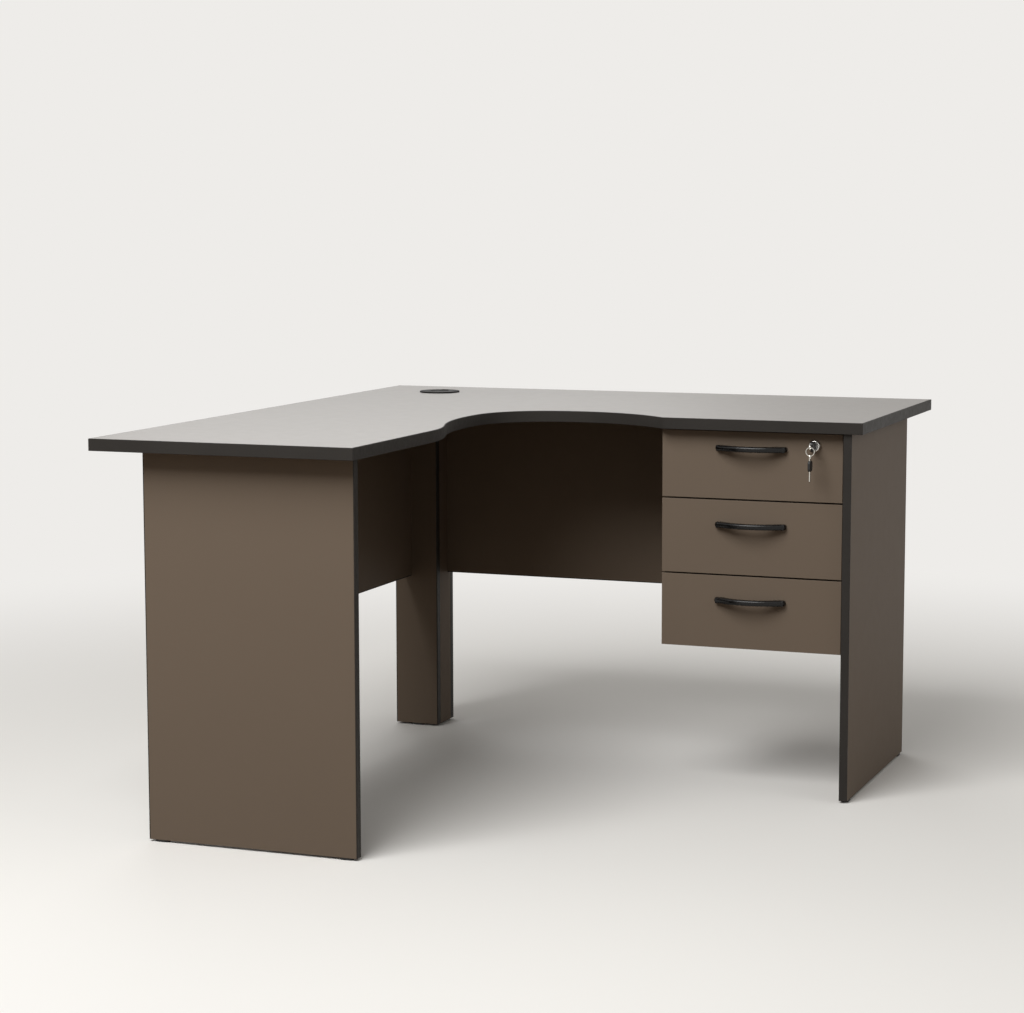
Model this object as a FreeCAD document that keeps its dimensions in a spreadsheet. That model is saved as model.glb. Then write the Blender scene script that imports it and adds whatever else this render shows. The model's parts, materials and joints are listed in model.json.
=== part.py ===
import FreeCAD
import Part
import Sketcher
import math
import os
import re

# Curved corner desk with a hung pedestal of three drawers.
# Positions are worked from the rear corner of the desktop: x along the wall to the right,
# y away from the user toward the wall (so the desk lies at negative y), z up from the floor.
# Each piece is then placed with the middle of the desk's footprint at the origin.

SIZES = {
    # desktop
    "main_length": 1208,
    "return_length": 1370,
    "main_depth": 612,
    "return_depth": 510,
    "desk_height": 728,
    "top_thickness": 22,
    "board": 16,
    "edge_band": 2,
    "edge_rounding": 1,
    # concave curve between the two runs: an arc beside the return and an arc before the main run
    "side_bite": 55,
    "side_arc_offset": 111,
    "side_arc_radius": 540,
    "rear_bite": 80,
    "rear_arc_offset": 117,
    "rear_arc_radius": 258,
    "curve_corner_radius": 140,
    "side_kink_radius": 300,
    "rear_kink_radius": 20,
    "curve_overrun": 30,
    # cable grommet
    "grommet_x": 163,
    "grommet_y": 156,
    "grommet_hole_radius": 40,
    "grommet_flange_width": 3,
    "grommet_flange_height": 3,
    "grommet_sleeve_depth": 18,
    "grommet_wall": 2.8,
    "grommet_ledge": 3,
    "grommet_cap_seat": 3,
    "grommet_fit": 0.1,
    "cable_notch_width": 18,
    "cable_notch_depth": 14,
    # end panels, modesty panels and corner leg
    "main_end_overhang": 23,
    "main_front_inset": 8,
    "main_panel_rear_gap": 124,
    "return_end_overhang": 47,
    "return_panel_wall_gap": 81,
    "return_panel_inset": 19,
    "return_modesty_gap": 101,
    "return_modesty_bottom": 330,
    "main_modesty_gap": 134,
    "main_modesty_bottom": 333,
    "leg_wall_gap": 79,
    "leg_rear_gap": 119,
    "leg_width": 98,
    "leg_depth": 90,
    "glide_height": 4,
    "glide_width": 15,
    "glide_length": 28,
    "glide_margin": 24,
    "joint_block": 20,
    "joint_block_length": 34,
    "joint_block_margin": 120,
    # pedestal and drawers
    "front_setback": 17,
    "front_width": 356,
    "front_side_gap": 4.5,
    "front_gap": 3,
    "front_bottom": 283,
    "bottom_front_height": 140.5,
    "middle_front_height": 143.5,
    "pedestal_side_inset": 2,
    "pedestal_rear_gap": 4,
    "carcass_gap": 2,
    "drawer_board": 12,
    "drawer_rear_gap": 26,
    "drawer_lift": 26,
    "drawer_margin": 45,
    "drawer_base": 3.2,
    "base_groove_height": 8,
    "base_groove_depth": 5,
    # runners
    "runner_gap": 12.5,
    "runner_steel": 1.2,
    "cabinet_runner_height": 26,
    "cabinet_runner_width": 10,
    "runner_lip": 5,
    "runner_drop": 2,
    "drawer_runner_height": 28,
    "roller_radius": 5.5,
    "roller_inset": 15,
    "runner_clearance": 0.5,
    # handles
    "handle_length": 141,
    "handle_reach": 28,
    "handle_end": 8,
    "handle_bar": 9,
    "handle_foot": 16,
    "handle_height": 11,
    "handle_rounding": 3,
    "handle_drop": 47,
    "top_handle_drop": 32,
    "screw_spacing": 128,
    "screw_radius": 2,
    "screw_head_radius": 4,
    "screw_head_height": 2.4,
    "screw_engagement": 8,
    "screw_fit": 0.1,
    # lock and keys
    "lock_side": 54,
    "lock_drop": 22.5,
    "lock_barrel_radius": 9.5,
    "lock_bezel_radius": 12,
    "lock_bezel_height": 8,
    "lock_bezel_slope": 3,
    "lock_tail": 8,
    "lock_plug_radius": 7,
    "lock_fit": 0.1,
    "turn_clearance": 0.4,
    "cam_reach": 18,
    "cam_width": 12,
    "cam_thickness": 2,
    "strike_width": 20,
    "strike_drop": 12,
    "strike_depth": 20,
    "strike_steel": 2,
    "strike_gap": 2.5,
    "key_thickness": 2,
    "key_blade": 7,
    "key_blade_length": 20,
    "key_gap": 1,
    "key_slot_fit": 0.2,
    "key_eye_radius": 3.2,
    "key_tab_width": 10,
    "key_tab_reach": 7,
    "key_tab_corner": 4,
    "key_head_thickness": 5,
    "key_head_width": 19,
    "key_head_length": 20.5,
    "key_head_corner": 6,
    "ring_radius": 8,
    "ring_wire_radius": 0.8,
    "ring_play": 0.6,
}

PANEL_FACE = "(main_length - main_end_overhang - board)"
UNDERSIDE = "(desk_height - top_thickness)"
PANEL_HEIGHT = f"({UNDERSIDE} - glide_height)"
FRONT_X = f"({PANEL_FACE} - front_side_gap - front_width)"
PANEL_FRONT_Y = "(main_front_inset - main_depth)"
FRONT_Y = f"({PANEL_FRONT_Y} + front_setback)"
CARCASS_X = f"({FRONT_X} + pedestal_side_inset)"
CARCASS_Y = f"({FRONT_Y} + board + carcass_gap)"
CARCASS_Z = "(front_bottom + pedestal_side_inset)"
MAIN_MODESTY_Y = "(0 - main_modesty_gap - board)"
PEDESTAL_DEPTH = f"({MAIN_MODESTY_Y} - pedestal_rear_gap - {CARCASS_Y})"
DRAWER_DEPTH = f"({PEDESTAL_DEPTH} + carcass_gap - board - drawer_rear_gap)"
CLEAR_X = f"({CARCASS_X} + board)"
CLEAR_WIDTH = f"({PANEL_FACE} - {CLEAR_X})"
BOX_X = f"({CLEAR_X} + runner_gap)"
BOX_WIDTH = f"({CLEAR_WIDTH} - 2 * runner_gap)"
MIDDLE_Z = "(front_bottom + bottom_front_height + front_gap)"
TOP_Z = f"({MIDDLE_Z} + middle_front_height + front_gap)"
TOP_HEIGHT = f"({UNDERSIDE} - front_gap - {TOP_Z})"
RETURN_PANEL_Y = "(return_end_overhang - return_length)"
RETURN_PANEL_WIDTH = "(return_depth - return_panel_inset - return_panel_wall_gap)"
MAIN_PANEL_DEPTH = "(main_depth - main_front_inset - main_panel_rear_gap)"
LEG_Y = "(0 - leg_rear_gap - leg_depth)"
LOCK_X = f"({PANEL_FACE} - front_side_gap - lock_side)"
LOCK_Z = f"({UNDERSIDE} - front_gap - lock_drop)"
LOCK_TAIL_Y = "(board + lock_tail)"
CAM_Y = f"({LOCK_TAIL_Y} + turn_clearance)"
KEY_INSERT = "(key_blade_length - key_gap)"
KEY_EYE_Y = "(0 - lock_bezel_height - key_gap - key_head_length - key_tab_reach)"
SPARE_EYE_Z = "(ring_wire_radius + ring_play - 2 * ring_radius - key_eye_radius)"

DRAWERS = (
    ("top", TOP_Z, TOP_HEIGHT, "top_handle_drop"),
    ("middle", MIDDLE_Z, "middle_front_height", "handle_drop"),
    ("bottom", "front_bottom", "bottom_front_height", "handle_drop"),
)

document = FreeCAD.newDocument("curved_desk")
sheet = document.addObject("Spreadsheet::Sheet", "sizes")
for row, (alias, value) in enumerate(SIZES.items(), start=1):
    sheet.set(f"A{row}", alias)
    sheet.set(f"B{row}", str(value))
    sheet.setAlias(f"B{row}", alias)
document.recompute()

nodes = []
EDGE_TOLERANCE = 1  # an edge within this distance of a line or plane counts as lying on it
AXIS_TURNS = {
    "X": FreeCAD.Rotation(FreeCAD.Vector(0, 1, 0), 90),
    "Y": FreeCAD.Rotation(FreeCAD.Vector(1, 0, 0), -90),
    "Z": FreeCAD.Rotation(),
}


def formula(text):
    """Point every size name in the text at the sheet."""
    names = "|".join(sorted(SIZES, key=len, reverse=True))
    return re.sub(rf"\b({names})\b", r"sizes.\1", text)


def bind(thing, expressions):
    """Bind properties of one object to formulas of sizes."""
    for path, text in expressions.items():
        thing.setExpression(path, formula(text))


def shift(thing, x, y, z):
    """Place an object inside its own piece."""
    bind(thing, {"Placement.Base.x": x, "Placement.Base.y": y, "Placement.Base.z": z})


def node(thing, label, x, y, z):
    """Name a finished piece and place it in the desk."""
    thing.Label = label
    shift(thing, f"{x} - main_length / 2", f"{y} + return_length / 2", z)
    nodes.append(thing)


def box(name, length, width, height, x="0", y="0", z="0"):
    solid = document.addObject("Part::Box", name)
    bind(solid, {"Length": length, "Width": width, "Height": height})
    shift(solid, x, y, z)
    return solid


def cylinder(name, radius, height, axis, x="0", y="0", z="0"):
    """Round bar that starts at the given point and runs along +X, +Y or +Z."""
    solid = document.addObject("Part::Cylinder", name)
    bind(solid, {"Radius": radius, "Height": height})
    solid.Placement.Rotation = AXIS_TURNS[axis]
    shift(solid, x, y, z)
    return solid


def cut(name, base, tool):
    result = document.addObject("Part::Cut", name)
    result.Base = base
    result.Tool = tool
    return result


def fuse(name, solids):
    result = document.addObject("Part::MultiFuse", name)
    result.Shapes = solids
    result.Refine = True
    return result


def group(name, solids):
    result = document.addObject("Part::Compound", name)
    result.Links = solids
    return result


def board(label, length, width, height, x, y, z):
    """Plain rectangular board."""
    node(box(label, length, width, height), label, x, y, z)


def new_sketch(body, name, plane):
    sketch = body.newObject("Sketcher::SketchObject", name)
    support = next(part for part in body.Origin.OriginFeatures if part.Role == plane)
    sketch.AttachmentSupport = [(support, "")]
    sketch.MapMode = "FlatFace"
    return sketch


def dimension(sketch, kind, references, value, text):
    """Add a driving dimension bound to a formula."""
    index = sketch.addConstraint(Sketcher.Constraint(kind, *references, value))
    sketch.setExpression(f"Constraints[{index}]", formula(text))


def pin(sketch, curve, end, x, y):
    """Fix one point of a sketch at formulas for its two coordinates."""
    point = sketch.getPoint(curve, end)
    if x is not None:
        dimension(sketch, "DistanceX", (-1, 1, curve, end), point.x, x)
    if y is not None:
        dimension(sketch, "DistanceY", (-1, 1, curve, end), point.y, y)


def polygon(sketch, corners):
    """Closed outline of straight lines with every corner fixed by formulas."""
    count = len(corners)
    turns = [2 * math.pi * step / count for step in range(count)]
    start = [FreeCAD.Vector(math.cos(turn), math.sin(turn), 0) for turn in turns]
    first = sketch.GeometryCount
    for step in range(count):
        sketch.addGeometry(Part.LineSegment(start[step], start[(step + 1) % count]))
    for step, (x, y) in enumerate(corners):
        line = first + step
        line_before = first + (step - 1) % count
        sketch.addConstraint(Sketcher.Constraint("Coincident", line_before, 2, line, 1))
        pin(sketch, line, 1, x, y)


def circle(sketch, x, y, radius):
    """Circle fixed by formulas for its centre and radius."""
    index = sketch.addGeometry(Part.Circle(FreeCAD.Vector(), FreeCAD.Vector(0, 0, 1), 1))
    dimension(sketch, "Radius", (index,), 1, radius)
    pin(sketch, index, 3, x, y)


def pad(body, sketch, length):
    feature = body.newObject("PartDesign::Pad", sketch.Name + "_pad")
    feature.Profile = sketch
    bind(feature, {"Length": length})
    sketch.Visibility = False
    return feature


def fillet(body, base, edges, radius, name):
    """Round the chosen edges of a body's last feature."""
    feature = body.newObject("PartDesign::Fillet", name)
    feature.Base = (base, [f"Edge{index}" for index in edges])
    bind(feature, {"Radius": radius})
    return feature


def edges_where(feature, chosen):
    """Numbers of the edges that the test accepts."""
    document.recompute()
    return [index for index, edge in enumerate(feature.Shape.Edges, start=1) if chosen(edge)]


def is_upright(edge):
    return edge.BoundBox.ZLength > 0.5 * SIZES["top_thickness"]


def arc(centre, radius, start, end):
    """Arc through the angles given in degrees, anticlockwise."""
    circle_of_arc = Part.Circle(FreeCAD.Vector(*centre, 0), FreeCAD.Vector(0, 0, 1), radius)
    return Part.ArcOfCircle(circle_of_arc, math.radians(start), math.radians(end))


def direction(start, end):
    """Angle of the way from one point to another, in degrees."""
    return math.degrees(math.atan2(end[1] - start[1], end[0] - start[0]))


def meeting(first, first_reach, second, second_reach):
    """Point at these distances from two points, to the left of the way from the first to the second."""
    gap_x, gap_y = second[0] - first[0], second[1] - first[1]
    gap = math.hypot(gap_x, gap_y)
    along = (gap**2 + first_reach**2 - second_reach**2) / (2 * gap)
    across = math.sqrt(first_reach**2 - along**2)
    return (
        first[0] + (along * gap_x - across * gap_y) / gap,
        first[1] + (along * gap_y + across * gap_x) / gap,
    )


def curve_sketch(body, name, inset):
    """Concave curve of the front: two wide arcs joined by a tighter one, closed in the knee space."""
    sketch = new_sketch(body, name, "XY_Plane")
    side_radius, rear_radius = SIZES["side_arc_radius"], SIZES["rear_arc_radius"]
    corner_radius, overrun = SIZES["curve_corner_radius"], SIZES["curve_overrun"]
    side_centre = (
        SIZES["return_depth"] - SIZES["side_bite"] + side_radius,
        -SIZES["main_depth"] - SIZES["side_arc_offset"],
    )
    rear_centre = (
        SIZES["return_depth"] + SIZES["rear_arc_offset"],
        -SIZES["main_depth"] + SIZES["rear_bite"] - rear_radius,
    )
    corner_centre = meeting(
        rear_centre, rear_radius - corner_radius,
        side_centre, side_radius - corner_radius,
    )
    side_start, rear_end = direction(side_centre, corner_centre), direction(rear_centre, corner_centre)
    side_run = (side_centre[0] - SIZES["return_depth"] - overrun) / side_radius
    rear_rise = (-SIZES["main_depth"] - overrun - rear_centre[1]) / rear_radius
    side_end = 180 + math.degrees(math.acos(side_run))
    rear_start = math.degrees(math.asin(rear_rise))
    side = sketch.addGeometry(arc(side_centre, side_radius, side_start, side_end))
    turn = sketch.addGeometry(arc(corner_centre, corner_radius, rear_end, side_start))
    rear = sketch.addGeometry(arc(rear_centre, rear_radius, rear_start, rear_end))
    chord = sketch.addGeometry(Part.LineSegment(sketch.getPoint(side, 2), sketch.getPoint(rear, 1)))
    dimension(sketch, "Radius", (side,), side_radius, f"side_arc_radius + {inset}")
    dimension(sketch, "Radius", (rear,), rear_radius, f"rear_arc_radius + {inset}")
    pin(sketch, side, 3, "return_depth - side_bite + side_arc_radius", "0 - main_depth - side_arc_offset")
    pin(sketch, rear, 3, "return_depth + rear_arc_offset", "rear_bite - main_depth - rear_arc_radius")
    sketch.addConstraint(Sketcher.Constraint("Tangent", side, 1, turn, 2))
    sketch.addConstraint(Sketcher.Constraint("Tangent", turn, 1, rear, 2))
    dimension(sketch, "Radius", (turn,), corner_radius, f"curve_corner_radius + {inset}")
    sketch.addConstraint(Sketcher.Constraint("Coincident", side, 2, chord, 1))
    sketch.addConstraint(Sketcher.Constraint("Coincident", rear, 1, chord, 2))
    pin(sketch, side, 2, "return_depth + curve_overrun", None)
    pin(sketch, rear, 1, None, "0 - main_depth - curve_overrun")
    return sketch


def desktop_block(name, inset):
    """Desktop with its outline drawn in by the inset on every side."""
    body = document.addObject("PartDesign::Body", name)
    outline = new_sketch(body, name + "_outline", "XY_Plane")
    near, right = f"{inset} - return_length", f"main_length - {inset}"
    polygon(outline, (
        (inset, f"0 - {inset}"),
        (inset, near),
        (f"return_depth - {inset}", near),
        (f"return_depth - {inset}", f"{inset} - main_depth"),
        (right, f"{inset} - main_depth"),
        (right, f"0 - {inset}"),
    ))
    slab = pad(body, outline, "top_thickness")
    bite = body.newObject("PartDesign::Pocket", name + "_bite")
    bite.Profile = curve_sketch(body, name + "_curve", inset)
    bite.Type = "ThroughAll"
    document.recompute()
    if math.isclose(bite.Shape.Volume, slab.Shape.Volume):
        bite.Reversed = True
    inner_x, inner_y = SIZES["return_depth"], -SIZES["main_depth"]
    reach = SIZES["edge_band"] + EDGE_TOLERANCE
    near_end, right_end = -SIZES["return_length"] + reach, SIZES["main_length"] - reach

    def is_side_kink(edge):
        middle = edge.BoundBox.Center
        return is_upright(edge) and abs(middle.x - inner_x) < reach and near_end < middle.y < inner_y

    def is_rear_kink(edge):
        middle = edge.BoundBox.Center
        return is_upright(edge) and abs(middle.y - inner_y) < reach and inner_x < middle.x < right_end

    side_kink, rear_kink = f"side_kink_radius - {inset}", f"rear_kink_radius - {inset}"
    side = fillet(body, bite, edges_where(bite, is_side_kink), side_kink, name + "_side_kink")
    rear = fillet(body, side, edges_where(side, is_rear_kink), rear_kink, name + "_rear_kink")
    return body, rear


# Desktop board, its edge band and the cable grommet
core, _ = desktop_block("desktop_core", "edge_band")
full, kinks = desktop_block("desktop_full", "0")
rims = edges_where(kinks, lambda edge: not is_upright(edge))
fillet(full, kinks, rims, "edge_rounding", "desktop_full_rims")
hole = cylinder("grommet_hole", "grommet_hole_radius", "top_thickness", "Z", "grommet_x", "0 - grommet_y")
node(cut("desktop_board", core, hole), "desktop_board", "0", "0", UNDERSIDE)
node(cut("desktop_edge_band", full, core), "desktop_edge_band", "0", "0", UNDERSIDE)

SLEEVE_RADIUS = "(grommet_hole_radius - grommet_fit)"
SEAT_RADIUS = f"({SLEEVE_RADIUS} - grommet_wall)"
SEAT_DEPTH = "(grommet_flange_height + grommet_cap_seat)"
sleeve = fuse("grommet_sleeve_solid", [
    cylinder("grommet_flange", "grommet_hole_radius + grommet_flange_width", "grommet_flange_height", "Z"),
    cylinder("grommet_tube", SLEEVE_RADIUS, "grommet_sleeve_depth", "Z", z="0 - grommet_sleeve_depth"),
])
bores = fuse("grommet_bores", [
    cylinder("grommet_seat", SEAT_RADIUS, SEAT_DEPTH, "Z", z="0 - grommet_cap_seat"),
    cylinder("grommet_bore", f"{SEAT_RADIUS} - grommet_ledge", "grommet_sleeve_depth", "Z",
             z="0 - grommet_sleeve_depth"),
])
node(cut("grommet_sleeve", sleeve, bores), "grommet_sleeve", "grommet_x", "0 - grommet_y", "desk_height")
CAP_RADIUS = f"({SEAT_RADIUS} - turn_clearance)"
CAP_HEIGHT = f"({SEAT_DEPTH} - turn_clearance)"
cap = cylinder("grommet_disc", CAP_RADIUS, CAP_HEIGHT, "Z")
notch = box("grommet_notch", "cable_notch_width", "cable_notch_depth + turn_clearance", CAP_HEIGHT,
            "0 - cable_notch_width / 2", f"{CAP_RADIUS} - cable_notch_depth")
node(cut("grommet_cap", cap, notch), "grommet_cap", "grommet_x", "0 - grommet_y",
     "desk_height - grommet_cap_seat + turn_clearance")

# End panel of the return, with banded upright edges
board("return_end_panel", f"{RETURN_PANEL_WIDTH} - 2 * edge_band", "board", PANEL_HEIGHT,
      "return_panel_wall_gap + edge_band", RETURN_PANEL_Y, "glide_height")
bands = [
    box(f"return_panel_band_{side}", "edge_band", "board", PANEL_HEIGHT, x)
    for side, x in (("left", "0"), ("right", f"{RETURN_PANEL_WIDTH} - edge_band"))
]
node(group("return_end_panel_edge_bands", bands), "return_end_panel_edge_bands",
     "return_panel_wall_gap", RETURN_PANEL_Y, "glide_height")

# End panel of the main run, with banded upright edges
board("main_end_panel", "board", f"{MAIN_PANEL_DEPTH} - 2 * edge_band", PANEL_HEIGHT,
      PANEL_FACE, f"{PANEL_FRONT_Y} + edge_band", "glide_height")
bands = [
    box(f"main_panel_band_{side}", "board", "edge_band", PANEL_HEIGHT, y=y)
    for side, y in (("front", "0"), ("rear", f"{MAIN_PANEL_DEPTH} - edge_band"))
]
node(group("main_end_panel_edge_bands", bands), "main_end_panel_edge_bands",
     PANEL_FACE, PANEL_FRONT_Y, "glide_height")

# Modesty panels, with banded lower edges
RETURN_MODESTY_Y = f"({RETURN_PANEL_Y} + board)"
RETURN_MODESTY_LENGTH = f"({LEG_Y} - {RETURN_MODESTY_Y})"
board("return_modesty_panel", "board", RETURN_MODESTY_LENGTH,
      f"{UNDERSIDE} - return_modesty_bottom - edge_band",
      "return_modesty_gap", RETURN_MODESTY_Y, "return_modesty_bottom + edge_band")
MAIN_MODESTY_X = "(leg_wall_gap + leg_width)"
MAIN_MODESTY_LENGTH = f"({PANEL_FACE} - {MAIN_MODESTY_X})"
board("main_modesty_panel", MAIN_MODESTY_LENGTH, "board",
      f"{UNDERSIDE} - main_modesty_bottom - edge_band",
      MAIN_MODESTY_X, MAIN_MODESTY_Y, "main_modesty_bottom + edge_band")
board("return_modesty_edge_band", "board", RETURN_MODESTY_LENGTH, "edge_band",
      "return_modesty_gap", RETURN_MODESTY_Y, "return_modesty_bottom")
board("main_modesty_edge_band", MAIN_MODESTY_LENGTH, "board", "edge_band",
      MAIN_MODESTY_X, MAIN_MODESTY_Y, "main_modesty_bottom")

# Corner leg: a hollow post of four boards, the front and rear ones with banded edges
LEG_CORE = "(leg_width - 2 * edge_band)"
board("corner_leg_front_board", LEG_CORE, "board", PANEL_HEIGHT,
      "leg_wall_gap + edge_band", LEG_Y, "glide_height")
board("corner_leg_rear_board", LEG_CORE, "board", PANEL_HEIGHT, "leg_wall_gap + edge_band",
      "0 - leg_rear_gap - board", "glide_height")
sides = [
    box(f"leg_side_{side}", "board", "leg_depth - 2 * board", PANEL_HEIGHT, x)
    for side, x in (("left", "0"), ("right", "leg_width - board"))
]
node(group("corner_leg_side_boards", sides), "corner_leg_side_boards",
     "leg_wall_gap", f"{LEG_Y} + board", "glide_height")
bands = [
    box(f"leg_band_{side}_{row}", "edge_band", "board", PANEL_HEIGHT, x, y)
    for side, x in (("left", "0"), ("right", "leg_width - edge_band"))
    for row, y in (("front", "0"), ("rear", "leg_depth - board"))
]
node(group("corner_leg_edge_bands", bands), "corner_leg_edge_bands", "leg_wall_gap", LEG_Y, "glide_height")


def glide(name, along, x, y):
    """Pad with round ends that stands under the middle of a board, long along X or Y."""
    straight = "(glide_length - glide_width)"
    half = "glide_width / 2"
    if along == "X":
        middle = box(name + "_middle", straight, "glide_width", "glide_height",
                     f"0 - {straight} / 2", f"0 - {half}")
        ends = [(f"{straight} / 2", "0"), (f"0 - {straight} / 2", "0")]
    else:
        middle = box(name + "_middle", "glide_width", straight, "glide_height",
                     f"0 - {half}", f"0 - {straight} / 2")
        ends = [("0", f"{straight} / 2"), ("0", f"0 - {straight} / 2")]
    rounds = [
        cylinder(f"{name}_end_{side}", half, "glide_height", "Z", end_x, end_y)
        for side, (end_x, end_y) in enumerate(ends)
    ]
    pad_solid = fuse(name, [middle, *rounds])
    shift(pad_solid, x, y, "0")
    return pad_solid


RETURN_GLIDE_Y = f"{RETURN_PANEL_Y} + board / 2"
MAIN_GLIDE_X = f"{PANEL_FACE} + board / 2"
LEG_GLIDE_X = "leg_wall_gap + leg_width / 2"
glides = [
    glide("glide_return_left", "X", "return_panel_wall_gap + glide_margin", RETURN_GLIDE_Y),
    glide("glide_return_right", "X", "return_depth - return_panel_inset - glide_margin", RETURN_GLIDE_Y),
    glide("glide_main_front", "Y", MAIN_GLIDE_X, f"{PANEL_FRONT_Y} + glide_margin"),
    glide("glide_main_rear", "Y", MAIN_GLIDE_X, "0 - main_panel_rear_gap - glide_margin"),
    glide("glide_leg_front", "X", LEG_GLIDE_X, f"{LEG_Y} + board / 2"),
    glide("glide_leg_rear", "X", LEG_GLIDE_X, "0 - leg_rear_gap - board / 2"),
]
node(group("glides", glides), "glides", "0", "0", "0")

# Joint blocks in the corners between the desktop and the upright panels
RETURN_BLOCK_X = "return_modesty_gap - joint_block"
MAIN_BLOCK_Y = "0 - main_modesty_gap"
blocks_along_x = (
    ("return_panel", "return_depth - return_panel_inset - joint_block_margin", RETURN_MODESTY_Y),
    ("main_modesty_left", f"{MAIN_MODESTY_X} + joint_block_margin", MAIN_BLOCK_Y),
    ("main_modesty_right", f"{PANEL_FACE} - joint_block_margin", MAIN_BLOCK_Y),
)
blocks_along_y = (
    ("return_modesty_near", RETURN_BLOCK_X, f"{RETURN_MODESTY_Y} + joint_block_margin"),
    ("return_modesty_far", RETURN_BLOCK_X, f"{LEG_Y} - joint_block_margin"),
    ("pedestal_side", f"{CARCASS_X} - joint_block", f"{CARCASS_Y} + joint_block_margin"),
)
blocks = [
    box(f"block_{name}", "joint_block_length", "joint_block", "joint_block", x, y)
    for name, x, y in blocks_along_x
]
blocks += [
    box(f"block_{name}", "joint_block", "joint_block_length", "joint_block", x, y)
    for name, x, y in blocks_along_y
]
node(group("joint_blocks", blocks), "joint_blocks", "0", "0", f"{UNDERSIDE} - joint_block")

# Pedestal carcass: the end panel of the main run is its right side
board("pedestal_side", "board", PEDESTAL_DEPTH, f"{UNDERSIDE} - {CARCASS_Z}",
      CARCASS_X, CARCASS_Y, CARCASS_Z)
board("pedestal_base", CLEAR_WIDTH, PEDESTAL_DEPTH, "board", CLEAR_X, CARCASS_Y, CARCASS_Z)
board("pedestal_back", CLEAR_WIDTH, "board", f"{UNDERSIDE} - {CARCASS_Z} - board",
      CLEAR_X, f"{CARCASS_Y} + {PEDESTAL_DEPTH} - board", f"{CARCASS_Z} + board")

# Runners and rollers, in the gaps between the carcass and the drawers
RUNNER_RISE = "(drawer_lift - runner_drop)"
ROLLER_Z = "(runner_steel + runner_clearance + roller_radius)"
RAIL_Z = f"({ROLLER_Z} + roller_radius + runner_clearance)"
RAIL_FACE = "(runner_gap - runner_steel)"
FLANGE_EDGE = "(runner_steel + runner_clearance)"


def from_face(side, near, far):
    """Start, along x from the left carcass face, of a stretch at these distances from its own face."""
    return near if side == "left" else f"{CLEAR_WIDTH} - ({far})"


def cabinet_runner(name, side, z):
    """Channel fixed to the carcass, open toward the drawer."""
    lip_z = f"{z} + cabinet_runner_height - runner_steel"
    return fuse(name, [
        box(name + "_web", "runner_steel", DRAWER_DEPTH, "cabinet_runner_height",
            from_face(side, "0", "runner_steel"), z=z),
        box(name + "_track", "cabinet_runner_width", DRAWER_DEPTH, "runner_steel",
            from_face(side, "0", "cabinet_runner_width"), z=z),
        box(name + "_lip", "runner_lip", DRAWER_DEPTH, "runner_steel",
            from_face(side, "0", "runner_lip"), z=lip_z),
    ])


def drawer_runner(name, side):
    """Rail fixed to the drawer side, with a flange that rides on the cabinet roller."""
    return fuse(name, [
        box(name + "_web", "runner_steel", DRAWER_DEPTH, "drawer_runner_height",
            from_face(side, RAIL_FACE, "runner_gap"), z="runner_drop"),
        box(name + "_flange", f"{RAIL_FACE} - {FLANGE_EDGE}", DRAWER_DEPTH, "runner_steel",
            from_face(side, FLANGE_EDGE, RAIL_FACE), z=RAIL_Z),
    ])


def roller(name, side, near, far, y, z):
    return cylinder(name, "roller_radius", f"{far} - ({near})", "X", from_face(side, near, far), y, z)


for side in ("left", "right"):
    channels = [
        cabinet_runner(f"channel_{side}_{name}", side, f"{z} + {RUNNER_RISE}")
        for name, z, _, _ in DRAWERS
    ]
    label = f"cabinet_runners_{side}"
    node(group(label, channels), label, CLEAR_X, CARCASS_Y, "0")
wheels = [
    roller(f"cabinet_roller_{side}_{name}", side, "runner_steel", "cabinet_runner_width", "roller_inset",
           f"{z} + {RUNNER_RISE} + {ROLLER_Z}")
    for side in ("left", "right")
    for name, z, _, _ in DRAWERS
]
node(group("cabinet_rollers", wheels), "cabinet_rollers", CLEAR_X, CARCASS_Y, "0")


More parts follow.
